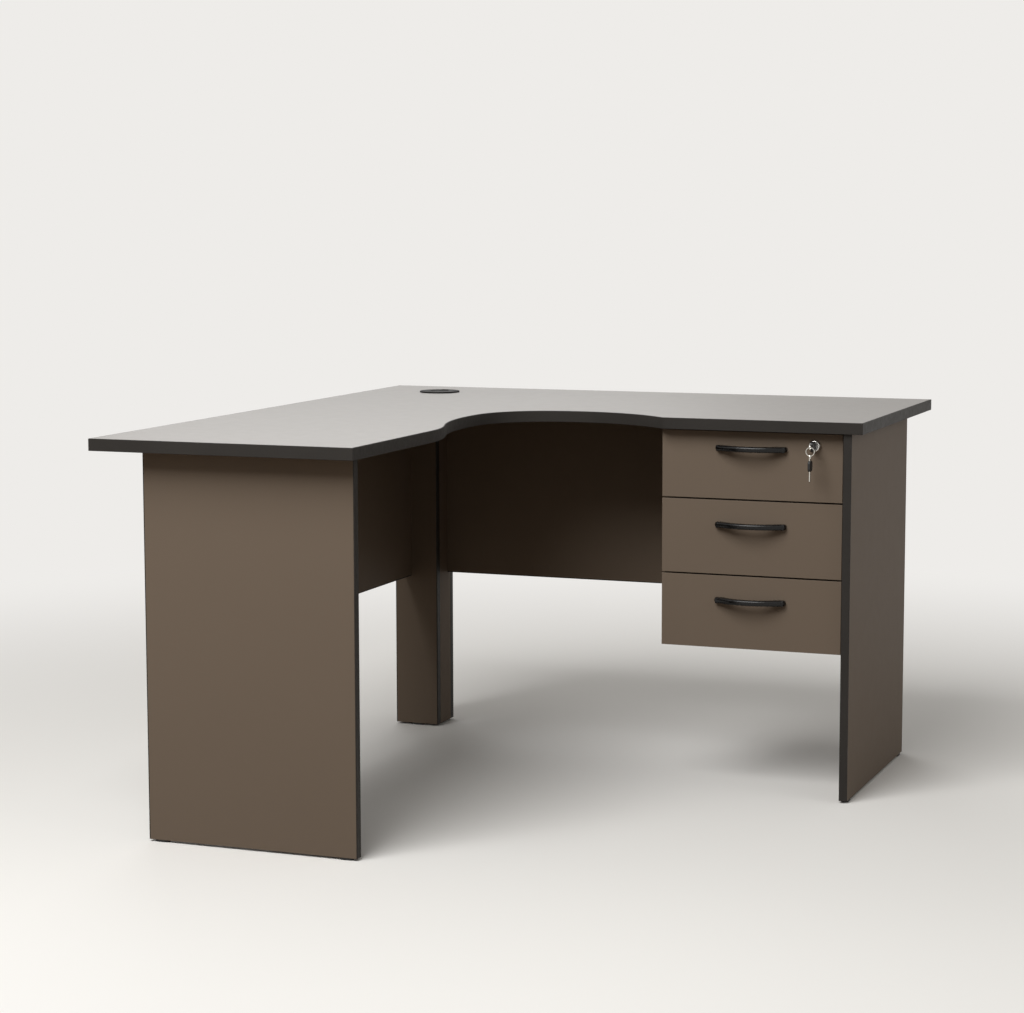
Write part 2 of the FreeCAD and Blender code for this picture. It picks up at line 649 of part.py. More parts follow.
def handle_block(name):
    """Bow handle: blunt ends on the drawer front, an outward curve between them, a flat foot at each end."""
    body = document.addObject("PartDesign::Body", name)
    sketch = new_sketch(body, name + "_plan", "XY_Plane")
    half, reach, end = SIZES["handle_length"] / 2, SIZES["handle_reach"], SIZES["handle_end"]
    foot, inner_reach = half - SIZES["handle_foot"], reach - SIZES["handle_bar"]
    lines = (
        ((-half, 0), (-half, -end)),
        ((half, -end), (half, 0)),
        ((half, 0), (foot, 0)),
        ((-foot, 0), (-half, 0)),
    )
    for start, stop in lines:
        sketch.addGeometry(Part.LineSegment(FreeCAD.Vector(*start, 0), FreeCAD.Vector(*stop, 0)))
    bows = ((half, -end, -reach), (foot, 0, -inner_reach))
    for span, ends_y, middle_y in bows:
        points = [FreeCAD.Vector(x, y, 0) for x, y in ((-span, ends_y), (0, middle_y), (span, ends_y))]
        sketch.addGeometry(Part.Arc(*points))
    joins = ((0, 2, 4, 1), (4, 2, 1, 1), (1, 2, 2, 1), (2, 2, 5, 2), (5, 1, 3, 1), (3, 2, 0, 1))
    for join in joins:
        sketch.addConstraint(Sketcher.Constraint("Coincident", *join))
    half_text, foot_text = "handle_length / 2", "(handle_length / 2 - handle_foot)"
    outer_rise, inner_rise = "(handle_reach - handle_end)", "(handle_reach - handle_bar)"
    pin(sketch, 0, 1, f"0 - {half_text}", "0")
    pin(sketch, 0, 2, f"0 - {half_text}", "0 - handle_end")
    pin(sketch, 1, 1, half_text, "0 - handle_end")
    pin(sketch, 1, 2, half_text, "0")
    pin(sketch, 2, 2, foot_text, "0")
    pin(sketch, 3, 1, f"0 - {foot_text}", "0")
    for curve, span, rise in ((4, half_text, outer_rise), (5, foot_text, inner_rise)):
        radius = f"(({span}) ^ 2 + {rise} ^ 2) / (2 * {rise})"
        dimension(sketch, "Radius", (curve,), sketch.Geometry[curve].Radius, radius)
    bar = pad(body, sketch, "handle_height")

    def is_blunt_end(edge):
        return edge.BoundBox.ZLength > EDGE_TOLERANCE and edge.BoundBox.Center.y < -EDGE_TOLERANCE

    def is_rim(edge):
        return edge.BoundBox.ZLength < EDGE_TOLERANCE and edge.BoundBox.YMin < -EDGE_TOLERANCE

    blunt = fillet(body, bar, edges_where(bar, is_blunt_end), "handle_rounding", name + "_ends")
    rims = edges_where(blunt, is_rim)
    fillet(body, blunt, rims, "handle_rounding", name + "_rims")
    return body


def drawer(name, front_z, front_height, handle_drop):
    """One drawer: front, box, runners, handle and its screws."""
    prefix = f"drawer_{name}"
    box_z = f"({front_z} + drawer_lift)"
    box_height = f"({front_height} - drawer_margin)"
    rear_face_y = f"({FRONT_Y} + board)"
    handle_z = f"({front_height} - {handle_drop})"
    screw_offsets = ("front_width / 2 - screw_spacing / 2", "front_width / 2 + screw_spacing / 2")

    body = document.addObject("PartDesign::Body", f"{prefix}_front")
    face = new_sketch(body, f"{prefix}_front_face", "XZ_Plane")
    polygon(face, (("0", "0"), ("front_width", "0"), ("front_width", front_height), ("0", front_height)))
    for offset in screw_offsets:
        circle(face, offset, handle_z, "screw_radius + screw_fit")
    if name == "top":
        circle(face, "front_width - lock_side", f"{front_height} - lock_drop",
               "lock_barrel_radius + lock_fit")
    pad(body, face, "board")
    node(body, f"{prefix}_front", FRONT_X, rear_face_y, front_z)

    groove_x = {"left": "drawer_board - base_groove_depth", "right": "0"}
    side_x = {"left": BOX_X, "right": f"{BOX_X} + {BOX_WIDTH} - drawer_board"}
    for side, x in side_x.items():
        panel = box(f"{prefix}_{side}_blank", "drawer_board", DRAWER_DEPTH, box_height)
        groove = box(f"{prefix}_{side}_groove", "base_groove_depth", DRAWER_DEPTH, "drawer_base",
                     groove_x[side], z="base_groove_height")
        label = f"{prefix}_{side}_side"
        node(cut(label, panel, groove), label, x, rear_face_y, box_z)
    board(f"{prefix}_base", f"{BOX_WIDTH} - 2 * (drawer_board - base_groove_depth)", DRAWER_DEPTH,
          "drawer_base", f"{BOX_X} + drawer_board - base_groove_depth", rear_face_y,
          f"{box_z} + base_groove_height")
    board(f"{prefix}_back", f"{BOX_WIDTH} - 2 * drawer_board", "drawer_board",
          f"{box_height} - base_groove_height - drawer_base", f"{BOX_X} + drawer_board",
          f"{rear_face_y} + {DRAWER_DEPTH} - drawer_board", f"{box_z} + base_groove_height + drawer_base")

    runner_z = f"{front_z} + {RUNNER_RISE}"
    rails = [drawer_runner(f"{prefix}_rail_{side}", side) for side in ("left", "right")]
    node(group(f"{prefix}_runners", rails), f"{prefix}_runners", CLEAR_X, rear_face_y, runner_z)
    wheels = [
        roller(f"{prefix}_roller_{side}", side, FLANGE_EDGE, RAIL_FACE,
               f"{DRAWER_DEPTH} - roller_inset", ROLLER_Z)
        for side in ("left", "right")
    ]
    node(group(f"{prefix}_rollers", wheels), f"{prefix}_rollers", CLEAR_X, rear_face_y, runner_z)

    holes = [
        cylinder(f"{prefix}_handle_hole_{index}", "screw_radius + screw_fit", "screw_engagement + screw_fit",
                 "Y", f"{offset} - front_width / 2", "0 - screw_engagement - screw_fit", "handle_height / 2")
        for index, offset in enumerate(screw_offsets)
    ]
    bow = cut(f"{prefix}_handle", handle_block(f"{prefix}_bow"), group(f"{prefix}_handle_holes", holes))
    node(bow, f"{prefix}_handle", f"{FRONT_X} + front_width / 2", FRONT_Y,
         f"{front_z} + {handle_z} - handle_height / 2")
    screws = [
        fuse(f"{prefix}_screw_{index}", [
            cylinder(f"{prefix}_shank_{index}", "screw_radius", "board + screw_engagement", "Y",
                     offset, "0 - screw_engagement"),
            cylinder(f"{prefix}_head_{index}", "screw_head_radius", "screw_head_height", "Y",
                     offset, "board"),
        ])
        for index, offset in enumerate(screw_offsets)
    ]
    node(group(f"{prefix}_handle_screws", screws), f"{prefix}_handle_screws",
         FRONT_X, FRONT_Y, f"{front_z} + {handle_z}")


for details in DRAWERS:
    drawer(*details)


def lock_node(solid, label):
    """Place a piece drawn around the lock's axis, from the face of the drawer front."""
    node(solid, label, LOCK_X, FRONT_Y, LOCK_Z)


# Lock: a turned housing through the drawer front, the plug and cam that turn in it, and the strike
housing = document.addObject("PartDesign::Body", "lock_housing")
section = new_sketch(housing, "lock_section", "XY_Plane")
BORE_RADIUS = "lock_plug_radius + turn_clearance"
polygon(section, (
    (BORE_RADIUS, LOCK_TAIL_Y),
    (BORE_RADIUS, "0 - lock_bezel_height"),
    ("lock_barrel_radius", "0 - lock_bezel_height"),
    ("lock_bezel_radius", "lock_bezel_slope - lock_bezel_height"),
    ("lock_bezel_radius", "0"),
    ("lock_barrel_radius", "0"),
    ("lock_barrel_radius", LOCK_TAIL_Y),
))
turned = housing.newObject("PartDesign::Revolution", "lock_turned")
turned.Profile = section
turned.ReferenceAxis = (section, ["V_Axis"])
turned.Angle = 360
lock_node(housing, "lock_housing")

plug = cylinder("plug_bar", "lock_plug_radius", f"{CAM_Y} + lock_bezel_height", "Y",
                y="0 - lock_bezel_height")
SLOT_WIDTH = "(key_thickness + 2 * key_slot_fit)"
SLOT_HEIGHT = "(key_blade + 2 * key_slot_fit)"
slot = box("key_slot", SLOT_WIDTH, f"{KEY_INSERT} + key_slot_fit", SLOT_HEIGHT,
           f"0 - {SLOT_WIDTH} / 2", "0 - lock_bezel_height", f"0 - {SLOT_HEIGHT} / 2")
lock_node(cut("lock_plug", plug, slot), "lock_plug")
arm = box("cam_arm", "cam_reach", "cam_thickness", "cam_width", y=CAM_Y, z="0 - cam_width / 2")
hub = cylinder("cam_hub", "lock_plug_radius", "cam_thickness", "Y", y=CAM_Y)
lock_node(fuse("lock_cam", [arm, hub]), "lock_cam")

STRIKE_Z = "(front_gap + lock_drop - strike_drop)"
STRIKE_Y = f"({CAM_Y} - strike_gap - strike_steel)"
lip = box("strike_lip", "strike_width", "strike_steel", "strike_drop",
          "0 - strike_width / 2", STRIKE_Y, STRIKE_Z)
plate = box("strike_plate", "strike_width", "strike_depth", "strike_steel",
            "0 - strike_width / 2", STRIKE_Y, "front_gap + lock_drop - strike_steel")
lock_node(fuse("lock_strike", [lip, plate]), "lock_strike")

# Wire ring through the eye of the key in the lock
ring = document.addObject("Part::Torus", "ring_wire")
bind(ring, {"Radius1": "ring_radius", "Radius2": "ring_wire_radius"})
ring.Placement.Rotation = AXIS_TURNS["Y"]
node(ring, "key_ring", LOCK_X, f"{FRONT_Y} + {KEY_EYE_Y}", f"{LOCK_Z} - ring_radius")


# Two like keys: one in the lock, the spare hanging from the ring
def key(name):
    """Steel key and its moulded head, drawn along +Y from the middle of the key's eye."""
    half_tab, half_blade, half_head = "key_tab_width / 2", "key_blade / 2", "key_head_width / 2"
    head_end = "key_tab_reach + key_head_length"
    tip = f"{head_end} + key_blade_length"
    steel = document.addObject("PartDesign::Body", name)
    shape = new_sketch(steel, f"{name}_shape", "YZ_Plane")
    polygon(shape, (
        (f"0 - {half_tab}", f"0 - {half_tab}"),
        ("key_tab_reach", f"0 - {half_tab}"),
        ("key_tab_reach", f"0 - {half_blade}"),
        (tip, f"0 - {half_blade}"),
        (tip, half_blade),
        ("key_tab_reach", half_blade),
        ("key_tab_reach", half_tab),
        (f"0 - {half_tab}", half_tab),
    ))
    circle(shape, "0", "0", "key_eye_radius")
    bar = pad(steel, shape, "key_thickness")

    def is_tab_corner(edge):
        beyond_eye = edge.BoundBox.Center.y < -SIZES["key_eye_radius"] - EDGE_TOLERANCE
        return beyond_eye and edge.BoundBox.XLength > EDGE_TOLERANCE

    fillet(steel, bar, edges_where(bar, is_tab_corner), "key_tab_corner", f"{name}_tab_corners")

    block = document.addObject("PartDesign::Body", f"{name}_head_block")
    side = new_sketch(block, f"{name}_head_shape", "YZ_Plane")
    polygon(side, (
        ("key_tab_reach", f"0 - {half_head}"),
        (head_end, f"0 - {half_head}"),
        (head_end, half_head),
        ("key_tab_reach", half_head),
    ))
    slab = pad(block, side, "key_head_thickness")
    corners = edges_where(slab, lambda edge: edge.BoundBox.XLength > EDGE_TOLERANCE)
    fillet(block, slab, corners, "key_head_corner", f"{name}_head_corners")
    core = box(f"{name}_core", "key_thickness", "key_head_length", "key_blade",
               "(key_head_thickness - key_thickness) / 2", "key_tab_reach", f"0 - {half_blade}")
    return steel, cut(f"{name}_head", block, core)


for name, turn, eye_z in (("inserted_key", "Z", LOCK_Z), ("spare_key", "Y", f"{LOCK_Z} + {SPARE_EYE_Z}")):
    steel, head = key(name)
    pieces = ((steel, name, "key_thickness"), (head, f"{name}_head", "key_head_thickness"))
    for solid, label, thickness in pieces:
        solid.Placement.Rotation = AXIS_TURNS[turn]
        node(solid, label, f"{LOCK_X} - {thickness} / 2", f"{FRONT_Y} + {KEY_EYE_Y}", eye_z)

document.recompute()
for thing in document.Objects:
    if "Invalid" in thing.State or "Error" in thing.State:
        raise RuntimeError(f"{thing.Name} did not build: {thing.State}")
os.makedirs("parts", exist_ok=True)
for thing in nodes:
    if thing.Shape.isNull() or not thing.Shape.isValid():
        raise RuntimeError(f"{thing.Label} has no valid shape")
    thing.Shape.exportStep(f"parts/{thing.Label}.step")
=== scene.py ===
import json
import math

import bmesh
import bpy
from mathutils import Matrix, Vector


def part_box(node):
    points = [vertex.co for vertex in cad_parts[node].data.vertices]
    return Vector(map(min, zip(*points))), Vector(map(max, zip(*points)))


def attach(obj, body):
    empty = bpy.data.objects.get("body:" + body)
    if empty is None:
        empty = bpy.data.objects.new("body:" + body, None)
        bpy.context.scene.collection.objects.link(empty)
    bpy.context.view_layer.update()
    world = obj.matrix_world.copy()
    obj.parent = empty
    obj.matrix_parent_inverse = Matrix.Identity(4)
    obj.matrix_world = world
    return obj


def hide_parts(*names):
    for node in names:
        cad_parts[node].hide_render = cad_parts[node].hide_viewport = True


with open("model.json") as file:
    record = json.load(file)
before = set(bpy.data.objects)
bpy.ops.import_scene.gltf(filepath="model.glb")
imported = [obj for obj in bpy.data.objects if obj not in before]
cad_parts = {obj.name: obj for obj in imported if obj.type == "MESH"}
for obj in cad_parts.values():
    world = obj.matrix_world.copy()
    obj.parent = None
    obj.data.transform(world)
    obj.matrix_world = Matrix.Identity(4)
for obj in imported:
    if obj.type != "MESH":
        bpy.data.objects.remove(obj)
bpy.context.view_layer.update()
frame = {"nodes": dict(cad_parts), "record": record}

# Curved corner desk: finishes, rounded boards, fittings, keys, floor, light and camera.
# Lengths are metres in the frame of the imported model, and MM turns millimetres into them.
# Angles are degrees.
MM = 0.001
BODY_OF = {
    node: body
    for body, members in frame["record"]["behaviour"]["bodies"].items()
    for node in members
}
SLOT_OF = {part["node"]: part["material_slot"] for part in frame["record"]["subparts"]}
DRAWERS = ("top", "middle", "bottom")


def linear(red, green, blue):
    """Scene colour of an 8-bit screen colour, by the sRGB curve."""
    shares = [value / 255 for value in (red, green, blue)]
    channels = [s / 12.92 if s <= 0.04045 else ((s + 0.055) / 1.055) ** 2.4 for s in shares]
    return (*channels, 1.0)


def shade(colour, factor):
    """The same colour, lighter or darker."""
    return tuple(min(1.0, channel * factor) for channel in colour[:3]) + (1.0,)


class Finish:
    """A principled material whose textures lie in the desk's own coordinates."""

    def __init__(self, name, **sockets):
        self.material = bpy.data.materials.new(name)
        self.material.use_nodes = True
        self.tree = self.material.node_tree
        self.shader = self.tree.nodes["Principled BSDF"]
        self.place = self.tree.nodes.new("ShaderNodeTexCoord").outputs["Object"]
        for socket, value in sockets.items():
            self.set(socket.replace("_", " "), value)

    def feed(self, socket, value):
        """Link an output to a socket, or give the socket a plain value."""
        if isinstance(value, bpy.types.NodeSocket):
            self.tree.links.new(value, socket)
        else:
            socket.default_value = value

    def set(self, socket, value):
        self.feed(self.shader.inputs[socket], value)

    def add(self, kind, inputs, **settings):
        node = self.tree.nodes.new(kind)
        for name, value in settings.items():
            setattr(node, name, value)
        for name, value in inputs.items():
            self.feed(node.inputs[name], value)
        return node

    def stretched(self, scale, offset=(0, 0, 0)):
        """Coordinates moved so that the offset is their origin, then scaled along each axis."""
        moved = self.add("ShaderNodeVectorMath", {0: self.place, 1: offset}, operation="SUBTRACT")
        inputs = {0: moved.outputs[0], 1: scale}
        return self.add("ShaderNodeVectorMath", inputs, operation="MULTIPLY").outputs[0]

    def noise(self, scale, detail, vector=None):
        """Noise with a number of blots to the metre and of finer layers within them."""
        inputs = {"Vector": vector or self.place, "Scale": scale, "Detail": detail}
        return self.add("ShaderNodeTexNoise", inputs).outputs[0]

    def spread(self, value, low=0.0, high=1.0, start=0.3, end=0.7):
        """Stretch the middle of a texture's range over low to high."""
        inputs = {"Value": value, "From Min": start, "From Max": end, "To Min": low, "To Max": high}
        return self.add("ShaderNodeMapRange", inputs).outputs[0]

    def mottle(self, scale, detail, *limits):
        """Noise stretched over its limits, given as for spread."""
        return self.spread(self.noise(scale, detail), *limits)

    def product(self, first, second):
        return self.add("ShaderNodeMath", {0: first, 1: second}, operation="MULTIPLY").outputs[0]

    def mix(self, factor, first, second):
        node = self.add("ShaderNodeMix", {0: factor, 6: first, 7: second}, data_type="RGBA")
        return node.outputs[2]

    def tones(self, factor, colour, dark, light):
        """A colour that changes between a darker and a lighter shade of itself."""
        return self.mix(factor, shade(colour, dark), shade(colour, light))

    def edges(self, radius):
        """One along the edges of a shape and zero on its faces."""
        rounded = self.add("ShaderNodeBevel", {"Radius": radius}, samples=4).outputs[0]
        plain = self.tree.nodes.new("ShaderNodeNewGeometry").outputs["Normal"]
        along = self.add("ShaderNodeVectorMath", {0: rounded, 1: plain}, operation="DOT_PRODUCT")
        return self.spread(along.outputs["Value"], low=1.0, high=0.0, start=0.8, end=0.99)

    def bump(self, *layers):
        """Stack bumps, each a height texture with its strength and depth."""
        normal = None
        for height, strength, depth in layers:
            inputs = {"Height": height, "Strength": strength, "Distance": depth}
            if normal:
                inputs["Normal"] = normal
            normal = self.add("ShaderNodeBump", inputs).outputs[0]
        self.set("Normal", normal)


# Finishes
TAUPE = linear(114, 101, 88)
GREY = linear(135, 131, 127)
CHARCOAL = linear(46, 43, 40)
BLACK = linear(22, 22, 22)


def melamine(name, colour, roughness, shine):
    """Melamine-faced board: faint clouds of tone, fine pearl grain, and a painted highlight along the
    arrises that noise breaks up into light scuffs.
    """
    finish = Finish(name, Specular_IOR_Level=shine)
    speck = finish.mottle(1500.0, 1.0, 0.0, 0.15)
    tone = finish.tones(finish.mottle(3.0, 3.0), colour, 0.985, 1.015)
    tone = finish.mix(speck, tone, shade(colour, 1.2))
    # Painted highlight: the arrises are lightened where edge light would catch them, in noise patches so
    # that it also reads as light scuffs.
    edge_highlight_and_scuffs = finish.product(finish.edges(0.6 * MM), finish.mottle(90.0, 4.0, 0.0, 0.3, 0.45, 0.7))
    finish.set("Base Color", finish.mix(edge_highlight_and_scuffs, tone, shade(colour, 1.7)))
    finish.set("Roughness", finish.mottle(40.0, 3.0, roughness - 0.015, roughness + 0.015))
    waves = (finish.noise(260.0, 2.0), 0.02, 0.05 * MM)
    grain = (finish.noise(1800.0, 1.0), 0.06, 0.02 * MM)
    finish.bump(waves, grain)
    return finish.material


def edge_band():
    """Charcoal plastic edging: a fine pebbled skin, rubbed lighter on its rounded edges."""
    finish = Finish("edge_pvc", Specular_IOR_Level=0.2)
    tone = finish.tones(finish.mottle(9.0, 3.0), CHARCOAL, 0.9, 1.08)
    rubbed = finish.product(finish.edges(1.2 * MM), finish.mottle(60.0, 4.0, 0.05, 0.35))
    finish.set("Base Color", finish.mix(rubbed, tone, shade(CHARCOAL, 1.8)))
    finish.set("Roughness", finish.mottle(120.0, 2.0, 0.52, 0.62))
    finish.bump((finish.noise(700.0, 2.0), 0.12, 0.06 * MM))
    return finish.material


def foil_board():
    """Grey foil wrapped round the drawer boards, with a faint drawn grain along the drawer."""
    finish = Finish("drawer_wrap")
    grain = finish.noise(1.0, 4.0, finish.stretched((220.0, 6.0, 220.0)))
    finish.set("Base Color", finish.tones(finish.spread(grain), linear(148, 145, 140), 0.9, 1.07))
    finish.set("Roughness", finish.mottle(30.0, 2.0, 0.42, 0.55))
    finish.bump((grain, 0.06, 0.08 * MM))
    return finish.material


def hardboard():
    """Lacquered hardboard drawer base with pressed fibres showing through."""
    finish = Finish("drawer_hardboard")
    colour = linear(166, 160, 150)
    fibre = finish.noise(320.0, 5.0)
    blot = finish.noise(24.0, 3.0)
    tone = finish.tones(finish.spread(fibre), colour, 0.86, 1.08)
    finish.set("Base Color", finish.mix(finish.spread(blot, 0.0, 0.3), tone, shade(colour, 0.8)))
    finish.set("Roughness", finish.spread(blot, 0.45, 0.6))
    finish.bump((fibre, 0.12, 0.06 * MM))
    return finish.material


def moulded(name, colour, roughness, grain, shine=0.4):
    """Moulded plastic with a spark-eroded skin of the given grain size."""
    finish = Finish(name, Specular_IOR_Level=shine)
    tone = finish.tones(finish.mottle(35.0, 3.0), colour, 0.85, 1.2)
    worn = finish.product(finish.edges(0.5 * MM), finish.mottle(150.0, 3.0, 0.0, 0.4))
    finish.set("Base Color", finish.mix(worn, tone, shade(colour, 2.2)))
    finish.set("Roughness", finish.mottle(80.0, 3.0, roughness - 0.06, roughness + 0.08))
    finish.bump((finish.noise(1 / grain, 2.0), 0.10, 0.04 * MM))
    return finish.material


def enamel():
    """Baked enamel on the steel runners: orange peel, with grey steel rubbed bare on the edges."""
    finish = Finish("runner_enamel")
    colour = linear(226, 224, 216)
    bare_steel = linear(120, 118, 114)
    rubbed = finish.product(finish.edges(0.4 * MM), finish.mottle(180.0, 4.0, 0.0, 0.9, 0.45, 0.65))
    grime = finish.mottle(14.0, 4.0, 0.0, 0.25, 0.4, 0.8)
    tone = finish.mix(grime, colour, shade(colour, 0.72))
    finish.set("Base Color", finish.mix(rubbed, tone, bare_steel))
    finish.set("Roughness", finish.mottle(50.0, 2.0, 0.32, 0.46))
    finish.bump((finish.noise(420.0, 2.0), 0.10, 0.08 * MM))
    return finish.material


def plated(name, colour, roughness, scratch):
    """Plated metal: fine scratches in one direction over soft changes of tone."""
    finish = Finish(name, Metallic=1.0)
    drawn = finish.noise(1.0, 3.0, finish.stretched(scratch))
    finish.set("Base Color", finish.tones(finish.mottle(60.0, 3.0), colour, 0.88, 1.04))
    finish.set("Roughness", finish.spread(drawn, roughness * 0.7, roughness * 1.5))
    finish.bump((drawn, 0.05, 0.03 * MM))
    return finish.material


def turned_chrome():
    """Chrome with the rings that turning leaves round the lock's axis."""
    low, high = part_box("lock_housing")
    finish = Finish("lock_chrome", Metallic=1.0)
    around = finish.stretched((1.0, 0.0, 1.0), tuple((low + high) / 2))
    radius = finish.add("ShaderNodeVectorMath", {0: around}, operation="LENGTH").outputs["Value"]
    by_radius = {"W": radius, "Scale": 2600.0}
    rings = finish.add("ShaderNodeTexNoise", by_radius, noise_dimensions="1D").outputs[0]
    smudge = finish.mottle(160.0, 3.0)
    finish.set("Base Color", finish.tones(smudge, linear(224, 222, 218), 0.9, 1.0))
    finish.set("Roughness", finish.spread(smudge, 0.10, 0.22))
    finish.bump((rings, 0.05, 0.03 * MM))
    return finish.material


# Scratches of plated metal to the metre along X, Y and Z
ALONG_DRAWER = (900.0, 60.0, 900.0)
UPRIGHT = (1200.0, 1200.0, 90.0)
FINISHES = {
    "desktop_laminate": melamine("desktop_laminate", GREY, roughness=0.42, shine=0.35),
    "panel_melamine": melamine("panel_melamine", TAUPE, roughness=0.55, shine=0.1),
    "edge_pvc": edge_band(),
    "drawer_wrap": foil_board(),
    "drawer_hardboard": hardboard(),
    "runner_enamel": enamel(),
    "roller_nylon": moulded("roller_nylon", linear(222, 218, 206), roughness=0.42, grain=0.7 * MM),
    "handle_black": moulded("handle_black", linear(11, 10, 10), roughness=0.25, grain=0.9 * MM, shine=0.3),
    "zinc_steel": plated("zinc_steel", linear(190, 192, 192), roughness=0.30, scratch=ALONG_DRAWER),
    "lock_chrome": turned_chrome(),
    "key_nickel": plated("key_nickel", linear(206, 203, 196), roughness=0.20, scratch=UPRIGHT),
    "key_plastic": moulded("key_plastic", BLACK, roughness=0.46, grain=0.5 * MM),
    "glide_plastic": moulded("glide_plastic", BLACK, roughness=0.55, grain=0.8 * MM),
    "block_plastic": moulded("block_plastic", linear(70, 60, 51), roughness=0.50, grain=0.8 * MM),
    "grommet_plastic": moulded(
        "grommet_plastic", linear(24, 23, 22), roughness=0.62, grain=0.7 * MM, shine=0.12),
}
# The CAD's own shapes take the finishes too, for those that stay in view
for node, shown in frame["nodes"].items():
    for holder in shown.material_slots:
        holder.material = FINISHES[SLOT_OF[node]]


# Shapes
SHARP_ANGLE = 40
CAD_WELD = 0.01 * MM
WELD = 0.001 * MM
NEAR = 0.1 * MM
ROUND_PROFILE = 0.5
BOX_EDGE_STEPS = 3
PLATE_EDGE_STEPS = 2
CORNER_STEPS = 8


def finished_mesh(name, shape):
    """Close a bmesh into a mesh that shades smoothly over all but its sharp edges."""
    bmesh.ops.recalc_face_normals(shape, faces=shape.faces)
    mesh = bpy.data.meshes.new(name)
    shape.to_mesh(mesh)
    shape.free()
    mesh.shade_smooth()
    mesh.set_sharp_from_angle(angle=math.radians(SHARP_ANGLE))
    return mesh


def show(node, word, mesh):
    """Show a mesh in place of a CAD node, on its body and in its finish; the word ends its name."""
    made = bpy.data.objects.new(f"{node}_{word}", mesh)
    bpy.context.scene.collection.objects.link(made)
    mesh.materials.append(FINISHES[SLOT_OF[node]])
    even = made.modifiers.new("even_normals", "WEIGHTED_NORMAL")
    even.keep_sharp = True
    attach(made, BODY_OF[node])
    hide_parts(node)


def solids(node):
    """Lowest and highest corner of each separate solid in a CAD node."""
    shape = bmesh.new()
    shape.from_mesh(frame["nodes"][node].data)
    bmesh.ops.remove_doubles(shape, verts=shape.verts, dist=CAD_WELD)
    left = set(range(len(shape.verts)))
    shape.verts.ensure_lookup_table()
    boxes = []
    for start in range(len(shape.verts)):
        if start not in left:
            continue
        left.remove(start)
        reached = [start]
        for index in reached:
            for edge in shape.verts[index].link_edges:
                other = edge.other_vert(shape.verts[index]).index
                if other in left:
                    left.remove(other)
                    reached.append(other)
        points = [shape.verts[index].co for index in reached]
        low = Vector(min(point[axis] for point in points) for axis in range(3))
        high = Vector(max(point[axis] for point in points) for axis in range(3))
        boxes.append((low, high))
    shape.free()
    return boxes


def round_edges(shape, edges, rounding, steps):
    """Bevel edges to a part of a circle."""
    bmesh.ops.bevel(
        shape, geom=edges, offset=rounding, segments=steps, profile=ROUND_PROFILE, affect="EDGES")


def add_box(shape, low, high, rounding, chosen=None):
    """Add a box to a bmesh and round the edges that the test accepts, or all of them."""
    corners = bmesh.ops.create_cube(shape, size=1)["verts"]
    for corner in corners:
        corner.co = [low[axis] if corner.co[axis] < 0 else high[axis] for axis in range(3)]
    edges = []
    for corner in corners:
        edges += [edge for edge in corner.link_edges if edge not in edges]
    if chosen:
        edges = [edge for edge in edges if chosen(edge)]
    round_edges(shape, edges, rounding, BOX_EDGE_STEPS)


def turned(name, profile, centre, axis, steps=72):
    """Solid turned round an axis through a centre; the profile is a loop of (radius, reach) pairs."""
    along = Vector(axis)
    across = along.orthogonal().normalized()
    beside = along.cross(across)
    turns = [2 * math.pi * step / steps for step in range(steps)]
    spokes = [across * math.cos(turn) + beside * math.sin(turn) for turn in turns]
    shape = bmesh.new()
    rings = []
    for radius, reach in profile:
        rings.append([shape.verts.new(centre + along * reach + spoke * radius) for spoke in spokes])
    for ring, after in zip(rings, rings[1:] + rings[:1]):
        for step in range(steps):
            following = (step + 1) % steps
            shape.faces.new((ring[step], ring[following], after[following], after[step]))
    bmesh.ops.remove_doubles(shape, verts=shape.verts, dist=WELD)
    bmesh.ops.dissolve_degenerate(shape, edges=shape.edges, dist=WELD / 2)
    return finished_mesh(name, shape)


def rounded_corner(centre, radius, start, end, steps=5):
    """Points of a small arc in a profile or outline."""
    angles = [math.radians(start + (end - start) * step / steps) for step in range(steps + 1)]
    return [(centre[0] + radius * math.cos(a), centre[1] + radius * math.sin(a)) for a in angles]


def softened(corners, reach, steps=4):
    """Closed outline or profile with each corner eased off over a short reach along both its sides."""
    outline = []
    for before, corner, after in zip(corners[-1:] + corners[:-1], corners, corners[1:] + corners[:1]):
        tip = Vector(corner)
        start = tip + (Vector(before) - tip).normalized() * reach
        end = tip + (Vector(after) - tip).normalized() * reach
        for step in range(steps + 1):
            share = step / steps
            outline.append(tuple(start.lerp(tip, share).lerp(tip.lerp(end, share), share)))
    return outline


def circle_outline(centre, radius, steps=48):
    return rounded_corner(centre, radius, 0, 360 - 360 / steps, steps - 1)


def rectangle_outline(low, high, corner=0.0):
    """Outline of a rectangle, its corners rounded where a radius is given."""
    if not corner:
        return [(low[0], low[1]), (high[0], low[1]), (high[0], high[1]), (low[0], high[1])]
    left, right = low[0] + corner, high[0] - corner
    bottom, top = low[1] + corner, high[1] - corner
    outline = []
    for x, y, start in ((left, bottom, 180), (right, bottom, 270), (right, top, 0), (left, top, 90)):
        outline += rounded_corner((x, y), corner, start, start + 90, CORNER_STEPS)
    return outline


